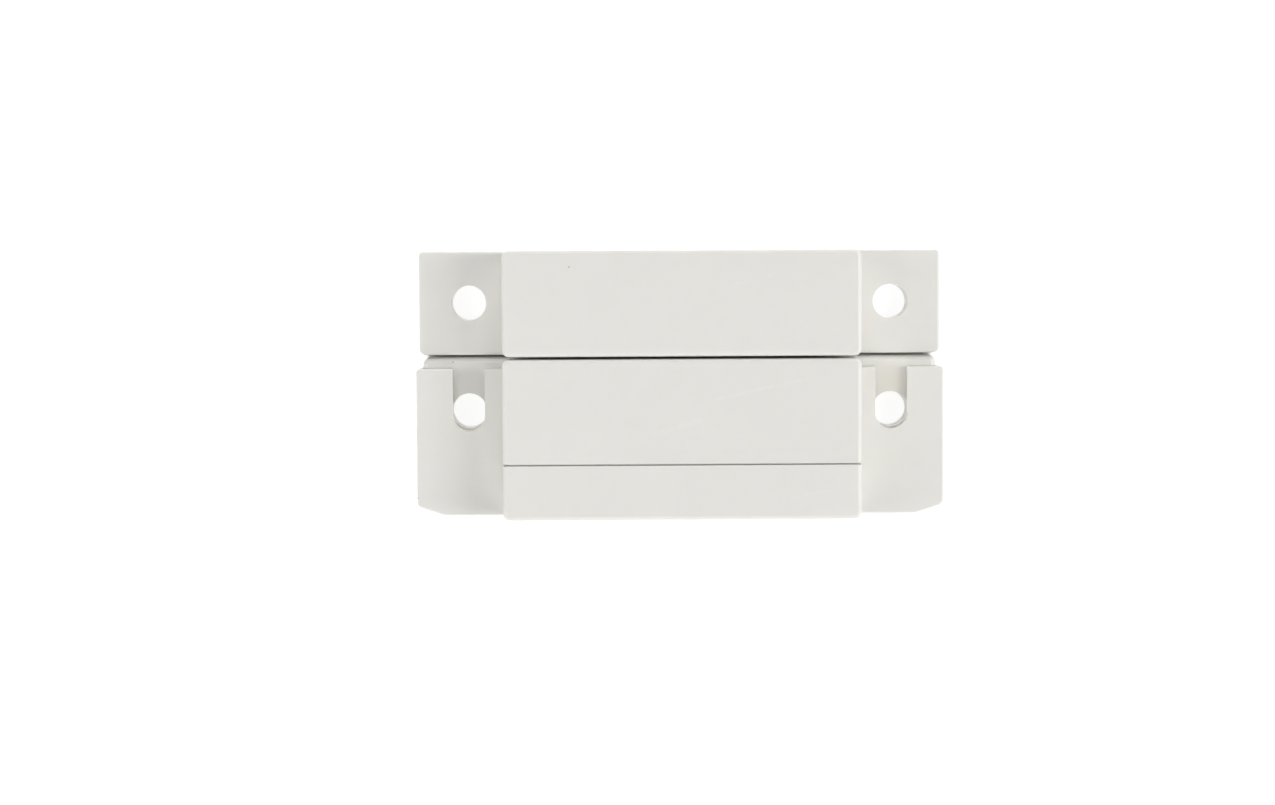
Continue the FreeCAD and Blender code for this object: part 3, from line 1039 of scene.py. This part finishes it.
def paired_marks(
    places: Sequence[tuple[float, float]], level: float = 0.0, radius: float = 1.0
) -> tuple[PinMark, ...]:
    """Pin marks at both ends of a moulding.

    Args:
        places: the x and y of each mark at the right end.
        level: the height of the face that they are in.
        radius: their radius.

    Returns:
        The marks, with the left end's first.
    """
    return tuple(PinMark(side.value * x, y, level, radius) for side in Side for x, y in places)


@dataclass
class Moulding:
    """A moulded part: the CAD shape with its sharp edges broken and its pin marks cut in."""

    node: str
    body: Body
    finish: MouldedPlastic
    slot: str
    edge_round: float
    marks: tuple[PinMark, ...] = ()
    wide_round: float = 0.0
    wide_edges: Callable[[Vector], bool] | None = None
    wide_segments: int = 3
    tight: float = 0.0

    def build(self) -> None:
        """Builds and places the piece."""
        shape = shape_of(self.node)
        if self.wide_edges is not None:
            round_sharp_edges(shape, self.wide_round, self.wide_edges, self.wide_segments, tight=self.tight)
        round_sharp_edges(shape, self.edge_round, tight=self.tight)
        for mark in self.marks:
            shape = carve(shape, mark.tool(), Carving.CUT)
        material = self.finish.material()
        add_piece(f"{self.node}_moulding", shape, self.body, material, self.node)


@dataclass
class ScrewTerminal:
    """One screw terminal: a stamped plate, a square clamp washer, a threaded screw and a solder joint.

    The recess and the slot are cut with slanting walls: their floor and mouth sizes are shares of the
    recess's own length and width.
    """

    side: Side
    spacing: float = 26.0
    y: float = -11.875
    plate_top: float = 6.8
    plate_edge: float = 0.08
    washer_top: float = 7.5
    washer_edge: float = 0.07
    tooth_pitch: float = 0.55
    tooth_depth: float = 0.14
    tooth_count: int = 3
    tooth_reach: float = 4.0
    head_radius: float = 2.5
    head_top: float = 9.4
    head_round: float = 0.85
    head_break: float = 0.1
    head_crown: float = 0.14
    head_steps: int = 8
    head_facets: int = 64
    recess_half: float = 1.4
    recess_width: float = 0.7
    recess_depth: float = 1.1
    recess_floor_length: float = 0.72
    recess_floor_width: float = 0.65
    recess_mouth_width: float = 1.06
    slot_half: float = 1.95
    slot_depth: float = 0.6
    slot_floor_width: float = 0.96
    slot_mouth_width: float = 1.02
    overcut: float = 0.3
    cut_offset: float = 0.01
    thread_top: float = 7.7
    thread_pitch: float = 0.5
    thread_turns: float = 10.5
    thread_facets: int = 24
    thread_crest: float = 1.45
    thread_root: float = 1.16
    solder_y: float = -6.325
    solder_radius: float = 0.9
    solder_tip: float = 0.45
    solder_height: float = 1.0
    solder_power: float = 2.6
    solder_wave: float = 0.05
    solder_facets: int = 40

    @property
    def x(self) -> float:
        """The terminal's place along the contact."""
        return self.side.value * self.spacing / 2

    def thread(self) -> bmesh.types.BMesh:
        """The threaded shank, faded in and out over its first and last turn.

        Returns:
            A closed shape in millimetres.
        """
        facets = self.thread_facets
        steps = int(self.thread_turns * facets)
        ridge = ((0.0, 0.0), (0.32, 1.0), (0.48, 1.0), (0.8, 0.0), (1.0, 0.0))
        shape = bmesh.new()
        rows = []
        for step in range(steps + 1):
            turn = 2 * math.pi * step / facets
            fade = min(1.0, step / facets, (steps - step) / facets)
            row = []
            for share, rise in ridge:
                radius = self.thread_root + (self.thread_crest - self.thread_root) * rise * fade
                height = self.thread_top - self.thread_pitch * (step / facets + share)
                row.append(shape.verts.new((radius * math.cos(turn), radius * math.sin(turn), height)))
            rows.append(row)
        for first, second in zip(rows, rows[1:]):
            for index in range(len(ridge) - 1):
                shape.faces.new((first[index], first[index + 1], second[index + 1], second[index]))
        bmesh.ops.remove_doubles(shape, verts=shape.verts, dist=1e-4)
        bmesh.ops.holes_fill(shape, edges=[e for e in shape.edges if e.is_boundary])
        bmesh.ops.translate(shape, vec=(self.x, self.y, 0.0), verts=shape.verts)
        return shape

    def head(self) -> bmesh.types.BMesh:
        """The pan head with its rounded shoulder and shallow crown.

        Returns:
            A closed shape in millimetres.
        """
        shoulder = self.head_top - self.head_crown
        middle = self.head_radius - self.head_round
        profile = [
            (0.0, self.washer_top),
            (self.head_radius - self.head_break, self.washer_top),
            (self.head_radius, self.washer_top + self.head_break),
        ]
        for turn in quarter_turn(self.head_steps):
            radius = middle + self.head_round * math.cos(turn)
            profile.append((radius, shoulder - self.head_round + self.head_round * math.sin(turn)))
        for share in (0.8, 0.6, 0.4, 0.2):
            profile.append((middle * share, shoulder + self.head_crown * (1 - share**2)))
        profile.append((0.0, self.head_top))
        return lathe(profile, (self.x, self.y, 0.0), self.head_facets)

    def screw(self) -> None:
        """Builds the screw, with a cross recess and a driver slot."""
        shape = carve(self.head(), self.thread(), Carving.JOIN)
        above = self.head_top + self.overcut
        floor = self.head_top - self.recess_depth
        slot_floor = self.head_top - self.slot_depth
        offset = self.cut_offset
        half = self.recess_width / 2
        floor_half = (self.recess_half * self.recess_floor_length, half * self.recess_floor_width)
        mouth_half = (self.recess_half, half * self.recess_mouth_width)
        slot_floor_half = (self.slot_half, half * self.slot_floor_width)
        slot_mouth_half = (self.slot_half, half * self.slot_mouth_width)
        centre = (self.x, self.y)
        tools = [
            tapered_block(centre, floor, above, floor_half, mouth_half),
            tapered_block(centre, floor - offset, above, floor_half[::-1], mouth_half[::-1]),
            tapered_block(centre, slot_floor, above + offset, slot_floor_half, slot_mouth_half),
        ]
        for tool in tools:
            shape = carve(shape, tool, Carving.CUT)
        node = f"terminal_screw_{self.side.word}"
        finish = Metal(
            f"zinc_screw_{self.side.word}",
            (0.62, 0.61, 0.585),
            (0.40, 0.38, 0.34),
            0.24,
            turned_about=(self.x, self.y),
        )
        add_piece(f"{node}_threaded", shape, Body.SWITCH, finish.material(), node)

    def groove(self, across: float) -> bmesh.types.BMesh:
        """The shape that cuts one gripping groove.

        Args:
            across: the groove's place along X.

        Returns:
            The shape in millimetres.
        """
        deep = self.tooth_depth
        outline = ((-1, -0.5), (1, -0.5), (1, 0.0), (0, 1.0), (-1, 0.0))
        return loft(
            [
                [Vector((across + a * deep, along, self.plate_top + b * deep)) for a, b in outline]
                for along in (self.y - self.tooth_reach, self.y + self.tooth_reach)
            ]
        )

    def washer(self) -> None:
        """Builds the clamp washer, with gripping grooves across its underside."""
        node = f"clamp_washer_{self.side.word}"
        shape = shape_of(node)
        round_sharp_edges(shape, self.washer_edge)
        for index in range(-self.tooth_count, self.tooth_count + 1):
            shape = carve(shape, self.groove(self.x + index * self.tooth_pitch), Carving.CUT)
        finish = Metal(
            "zinc_washer", (0.60, 0.59, 0.56), (0.42, 0.40, 0.36), 0.32, line_cell_mm=(2.0, 0.07, 2.0)
        )
        add_piece(f"{node}_stamped", shape, Body.SWITCH, finish.material(), node)

    def plate(self) -> None:
        """Builds the stamped terminal plate with its tail."""
        node = f"terminal_plate_{self.side.word}"
        shape = shape_of(node)
        round_sharp_edges(shape, self.plate_edge)
        finish = Metal(
            "plated_brass", (0.72, 0.60, 0.36), (0.50, 0.37, 0.20), 0.27, line_cell_mm=(0.08, 2.5, 2.0)
        )
        add_piece(f"{node}_stamped", shape, Body.SWITCH, finish.material(), node)

    def solder(self) -> None:
        """Builds the solder joint, whose sides run out thin over the tail."""
        node = f"solder_joint_{self.side.word}"
        spread = self.solder_radius - self.solder_tip
        profile = [(0.0, 0.0), (self.solder_radius, 0.0)]
        for share in (0.03, 0.1, 0.2, 0.32, 0.46, 0.6, 0.74, 0.86):
            radius = self.solder_tip + spread * (1 - share) ** self.solder_power
            profile.append((radius, share * self.solder_height))
        for width, share in ((0.93, 0.93), (0.74, 0.98), (0.4, 1.0)):
            profile.append((self.solder_tip * width, share * self.solder_height))
        profile.append((0.0, self.solder_height))
        shape = lathe(profile, segments=self.solder_facets)
        for vert in shape.verts:
            turn = math.atan2(vert.co.y, vert.co.x)
            wave = 1 - self.solder_wave * (0.5 + 0.5 * math.sin(3 * turn + 4 * vert.co.z))
            vert.co.x *= wave
            vert.co.y *= wave
        bmesh.ops.translate(shape, vec=(self.x, self.solder_y, self.plate_top), verts=shape.verts)
        finish = Metal("bright_solder", (0.68, 0.69, 0.70), (0.48, 0.48, 0.47), 0.2, line_depth_mm=0.004)
        add_piece(f"{node}_flowed", shape, Body.SWITCH, finish.material(), node, 40.0)

    def build(self) -> None:
        """Builds the terminal's four pieces."""
        self.plate()
        self.washer()
        self.screw()
        self.solder()


@dataclass
class ReedSwitch:
    """The reed switch: two flattened reeds sealed into a drawn glass tube."""

    y: float = -0.475
    z: float = 7.2
    glass_half: float = 10.0
    glass_radius: float = 1.35
    glass_wall: float = 0.4
    seal_length: float = 1.4
    end_radius: float = 0.8
    end_taper: float = 0.9
    lead_radius: float = 0.3
    blade_half_width: float = 0.55
    blade_half_thickness: float = 0.11
    contact_gap: float = 0.1
    blade_overlap: float = 1.0
    flat_until: float = 7.2
    round_from: float = 8.4
    lead_x: float = 13.0
    bend_radius: float = 1.2
    lead_end_y: float = -6.625
    glass_steps: int = 6
    glass_facets: int = 40
    glass_break: float = 0.1
    glass_lip: float = 0.15
    chamber_dome: float = 0.8
    outline_points: int = 20
    flat_squareness: float = 7.0
    round_squareness: float = 2.0
    blade_stations: tuple[float, ...] = (2.0, 4.6)
    blade_tip: float = 0.12
    blade_tip_share: float = 0.82
    blend_steps: int = 6
    bend_steps: int = 8
    lead_break: float = 0.08
    lead_end_share: float = 0.8

    def glass(self) -> None:
        """Builds the tube, sealed round a lead at both ends."""
        outside, chamber = [], []
        chamber_half = self.glass_half - self.seal_length
        inside = self.glass_radius - self.glass_wall
        dome = self.chamber_dome * self.glass_wall
        lead = self.lead_radius
        for turn in quarter_turn(self.glass_steps):
            rise = math.sin(turn)
            back = 1 - math.cos(turn)
            outer = self.end_radius + (self.glass_radius - self.end_radius) * rise
            outside.append((outer, self.glass_half - self.glass_break - self.end_taper * back))
            chamber.append((lead + (inside - lead) * rise, chamber_half - dome * back))
        lip = self.end_radius - self.glass_lip
        half_loop = [(lead, self.glass_half), (lip, self.glass_half), *outside]
        mirrored = [(radius, -height) for radius, height in reversed(half_loop)]
        hollow = [(radius, -height) for radius, height in chamber]
        hollow += [(radius, height) for radius, height in reversed(chamber)]
        profile = half_loop + mirrored + hollow
        shape = lathe(profile, (0.0, self.y, self.z), self.glass_facets, ring=True, along_x=True)
        material = DrawnGlass("drawn_glass").material()
        add_piece("reed_glass_drawn", shape, Body.SWITCH, material, "reed_glass", 50.0)

    def section(
        self, centre: Vector, ahead: Vector, half: tuple[float, float], squareness: float
    ) -> list[Vector]:
        """One cross-section of a reed.

        Args:
            centre: the middle of the section.
            ahead: the direction that the reed runs in.
            half: the half width and half thickness.
            squareness: the power of the section's outline, with 2 for a round one.

        Returns:
            The outline's points.
        """
        across = Vector((0.0, 0.0, 1.0)).cross(ahead).normalized()
        points = []
        for index in range(self.outline_points):
            turn = 2 * math.pi * (index + 0.5) / self.outline_points
            side, rise = math.cos(turn), math.sin(turn)
            wide = math.copysign(abs(side) ** (2 / squareness), side) * half[0]
            thick = math.copysign(abs(rise) ** (2 / squareness), rise) * half[1]
            points.append(centre + across * wide + Vector((0.0, 0.0, thick)))
        return points

    def reed(self, side: Side) -> None:
        """Builds one reed, from its flat contact end to the lead's end.

        Args:
            side: the end of the contact that the lead leaves by.
        """
        sign = side.value
        lift = sign * (self.contact_gap / 2 + self.blade_half_thickness)
        sections = []
        flat = (self.blade_half_width, self.blade_half_thickness)
        flat_power, round_power = self.flat_squareness, self.round_squareness
        along_x = Vector((sign, 0.0, 0.0))
        start = -self.blade_overlap / 2
        for x in (start, start + self.blade_tip, *self.blade_stations, self.flat_until):
            tip = self.blade_tip_share if x == start else 1.0
            half = (flat[0] * tip, flat[1] * tip)
            centre = Vector((sign * x, self.y, self.z + lift))
            sections.append(self.section(centre, along_x, half, flat_power))
        for index in range(1, self.blend_steps + 1):
            share = index / self.blend_steps
            blend = share * share * (3 - 2 * share)
            x = self.flat_until + (self.round_from - self.flat_until) * share
            half = tuple(a + (self.lead_radius - a) * blend for a in flat)
            centre = Vector((sign * x, self.y, self.z + lift * (1 - blend)))
            power = flat_power + (round_power - flat_power) * blend
            sections.append(self.section(centre, along_x, half, power))
        round_half = (self.lead_radius, self.lead_radius)
        bend_x = self.lead_x - self.bend_radius
        for turn in quarter_turn(self.bend_steps):
            x = bend_x + self.bend_radius * math.sin(turn)
            y = self.y - self.bend_radius * (1 - math.cos(turn))
            ahead = Vector((sign * math.cos(turn), -math.sin(turn), 0.0))
            sections.append(self.section(Vector((sign * x, y, self.z)), ahead, round_half, round_power))
        down = Vector((0.0, -1.0, 0.0))
        ends = ((self.lead_end_y + self.lead_break, 1.0), (self.lead_end_y, self.lead_end_share))
        for y, share in ends:
            half = (self.lead_radius * share, self.lead_radius * share)
            centre = Vector((sign * self.lead_x, y, self.z))
            sections.append(self.section(centre, down, half, round_power))
        node = f"reed_blade_{side.word}"
        finish = Metal(
            "plated_reed", (0.62, 0.60, 0.56), (0.52, 0.48, 0.42), 0.22, line_cell_mm=(3.0, 0.06, 0.06)
        )
        shape = loft(sections)
        add_piece(f"{node}_rolled", shape, Body.SWITCH, finish.material(), node, 45.0)

    def build(self) -> None:
        """Builds the tube and both reeds."""
        self.glass()
        for side in Side:
            self.reed(side)


@dataclass
class Potting:
    """The resin poured into the switch half, which creeps up the cavity's walls as it sets.

    Its open surface is cut across at the offsets from each wall, and at the spacing between them.
    """

    level: float = 0.4
    half_x: float = 19.55
    y_low: float = -7.625
    y_high: float = 1.675
    creep: float = 0.24
    creep_reach: float = 0.45
    ripple: float = 0.03
    offsets: tuple[float, ...] = (0.12, 0.28, 0.5, 0.8, 1.2, 1.8, 2.6)
    spacing: float = 1.5
    facing: float = 0.99
    slack: float = 0.01

    def cuts(self, low: float, high: float) -> list[float]:
        """The places of the cuts across the surface, close together near the walls.

        Args:
            low: the wall with the lower coordinate.
            high: the wall with the higher one.

        Returns:
            The places in rising order.
        """
        near_low = [low + offset for offset in self.offsets]
        near_high = [high - offset for offset in reversed(self.offsets)]
        count = max(1, round((near_high[0] - near_low[-1]) / self.spacing))
        gap = (near_high[0] - near_low[-1]) / count
        return near_low + [near_low[-1] + gap * index for index in range(1, count)] + near_high

    def surface_level(self, x: float, y: float) -> float:
        """The height of the resin's open surface.

        Args:
            x: the place along the contact.
            y: the place across it.

        Returns:
            The height in millimetres. The cavity is open below, so the resin creeps down its walls.
        """
        wall = min(self.half_x - abs(x), y - self.y_low, self.y_high - y)
        climb = self.creep * math.exp(-max(wall, 0.0) / self.creep_reach)
        wave = math.sin(0.31 * x + 0.4) * math.cos(0.52 * y + 0.12 * x)
        return self.level - climb + self.ripple * wave * min(1.0, max(wall, 0.0))

    def open_faces(self, shape: bmesh.types.BMesh) -> list[bmesh.types.BMFace]:
        """The faces of the resin's open surface, before it is shaped.

        Args:
            shape: the resin's shape.

        Returns:
            The faces that look down and lie at the resin's level.
        """
        return [
            face
            for face in shape.faces
            if face.normal.z < -self.facing and abs(face.calc_center_median().z - self.level) < self.slack
        ]

    def build(self) -> None:
        """Builds the resin."""
        node = "potting_compound"
        shape = shape_of(node)
        for axis, places in (
            (Vector((1.0, 0.0, 0.0)), self.cuts(-self.half_x, self.half_x)),
            (Vector((0.0, 1.0, 0.0)), self.cuts(self.y_low, self.y_high)),
        ):
            for place in places:
                faces = self.open_faces(shape)
                edges = dict.fromkeys(edge for face in faces for edge in face.edges)
                verts = dict.fromkeys(vert for face in faces for vert in face.verts)
                geom = [*faces, *edges, *verts]
                bmesh.ops.bisect_plane(shape, geom=geom, plane_co=axis * place, plane_no=axis)
        for vert in dict.fromkeys(vert for face in self.open_faces(shape) for vert in face.verts):
            vert.co.z = self.surface_level(vert.co.x, vert.co.y)
        material = CastResin("poured_resin").material()
        add_piece(f"{node}_cast", shape, Body.SWITCH, material, node, 45.0)


@dataclass
class RodMagnet:
    """The ground magnet rod with its softly broken ends."""

    y: float = 9.675
    z: float = 6.4
    radius: float = 3.0
    half_length: float = 16.0
    end_break: float = 0.3
    break_steps: int = 5
    facets: int = 64

    def build(self) -> None:
        """Builds the rod."""
        end_round = self.end_break
        upper = [(0.0, self.half_length), (self.radius - end_round, self.half_length)]
        for turn in quarter_turn(self.break_steps)[1:]:
            radius = self.radius - end_round * (1 - math.sin(turn))
            upper.append((radius, self.half_length - end_round * (1 - math.cos(turn))))
        profile = upper + [(radius, -height) for radius, height in reversed(upper)]
        shape = lathe(profile, (0.0, self.y, self.z), self.facets, along_x=True)
        material = SinteredAlloy("magnet_alloy").material()
        add_piece("magnet_rod_ground", shape, Body.MAGNET, material, "magnet_rod")


def on_notch_rim(middle: Vector) -> bool:
    """Whether an edge's middle lies on the upper rim of one of the cover's two notches."""
    plate_top, notch_x, notch_half, notch_front = 4.25, 25.45, 2.2, 1.5
    beside = abs(abs(middle.x) - notch_x)
    return middle.z > plate_top and beside < notch_half and middle.y < notch_front


def mouldings() -> list[Moulding]:
    """Lists the four moulded parts with their marks, in millimetres.

    Returns:
        The parts in the order in which they are built.
    """
    dark: Triple = (0.16, 0.15, 0.14)
    aged_and_shaded: Triple = (0.76, 0.735, 0.66)
    painted_notch_shade: Triple = (0.66, 0.65, 0.62)
    # Painted shade along the split between the switch housing and the terminal cover.
    split = (Seam(-9.2, 12.7, 0.12),)
    switch_spots = (
        Spot((-27.4, 2.63, 3.0), 0.12, dark, 0.6),
        # Painted shade: the left notch's floor darkened where the cover plate's walls shade it.
        Spot((-25.4, -1.2, 3.0), 3.6, painted_notch_shade, 0.55, 0.35),
        # Partly real yellowing of the plastic and partly painted shade: the right notch's floor is tinted,
        # and darkened a little where its walls shade it.
        Spot((25.5, -0.6, 3.0), 4.0, aged_and_shaded, 0.6, 0.8),
        Spot((9.6, 3.17, 6.2), 0.12, dark, 0.5),
    )
    switch_scuffs = (
        Scuff((4.07, -1.51, 12.7), (14.6, 0.77, 12.7), 0.3, 0.2),
        Scuff((-4.97, -6.27, 12.7), (2.07, -3.96, 12.7), 0.6, 0.16),
        Scuff((-31.0, -9.0, 1.8), (-31.0, 0.5, 1.7), 0.2, 0.4),
        Scuff((31.0, -11.0, 1.5), (31.0, -1.5, 1.6), 0.2, 0.4),
    )
    cover_spots = (
        Spot((-31.69, -13.72, 4.2), 0.14, dark, 0.6),
        Spot((6.3, -15.7, 8.1), 0.12, dark, 0.4),
    )
    cover_scuffs = (
        Scuff((-9.5, -15.7, 9.2), (-3.2, -15.7, 7.8), 0.22, 0.3),
        Scuff((12.0, -13.2, 12.7), (17.5, -12.4, 12.7), 0.25, 0.25),
    )
    magnet_spots = (
        Spot((-13.15, 14.0, 12.7), 0.13, dark, 0.5),
        Spot((15.2, 15.87, 7.5), 0.12, dark, 0.4),
    )
    magnet_scuffs = (
        Scuff((-5.0, 15.87, 9.0), (4.5, 15.87, 8.1), 0.25, 0.3),
        Scuff((6.0, 11.8, 12.7), (10.5, 12.9, 12.7), 0.3, 0.2),
    )
    return [
        Moulding(
            "switch_housing",
            Body.SWITCH,
            MouldedPlastic("switch_abs", seed=3.0, spots=switch_spots, scuffs=switch_scuffs, split_shades=split),
            "switch_plastic",
            edge_round=0.08,
            marks=paired_marks([(22.8, -10.6), (29.0, 0.9)]),
        ),
        Moulding(
            "terminal_cover",
            Body.COVER,
            MouldedPlastic("cover_abs", seed=11.0, spots=cover_spots, scuffs=cover_scuffs, split_shades=split),
            "cover_plastic",
            edge_round=0.1,
            marks=paired_marks([(28.6, -10.4)], level=3.1, radius=0.9),
            wide_round=0.17,
            wide_edges=on_notch_rim,
            tight=0.08,
        ),
        Moulding(
            "magnet_housing",
            Body.MAGNET,
            MouldedPlastic("magnet_abs", seed=19.0, spots=magnet_spots, scuffs=magnet_scuffs),
            "magnet_plastic",
            edge_round=0.1,
            marks=paired_marks([(22.6, 5.4), (29.4, 13.9)]),
        ),
        Moulding(
            "magnet_back_plate",
            Body.MAGNET,
            MouldedPlastic("plate_abs", colour=(0.78, 0.77, 0.73), seed=27.0),
            "back_plate_plastic",
            edge_round=0.1,
            marks=(
                PinMark(0.0, 9.675, level=0.1, radius=1.6, depth=0.16),
                *paired_marks([(14.0, 9.675)], level=0.1, radius=1.1),
            ),
        ),
    ]


def main() -> None:
    """Builds the studio and every sub-assembly in order."""
    logging.basicConfig(level=logging.INFO, format="%(message)s")
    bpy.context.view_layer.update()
    Studio().build()
    parts = [
        *mouldings(),
        *(ScrewTerminal(side) for side in Side),
        ReedSwitch(),
        Potting(),
        RodMagnet(),
    ]
    for part in parts:
        part.build()


if __name__ == "__main__":
    main()
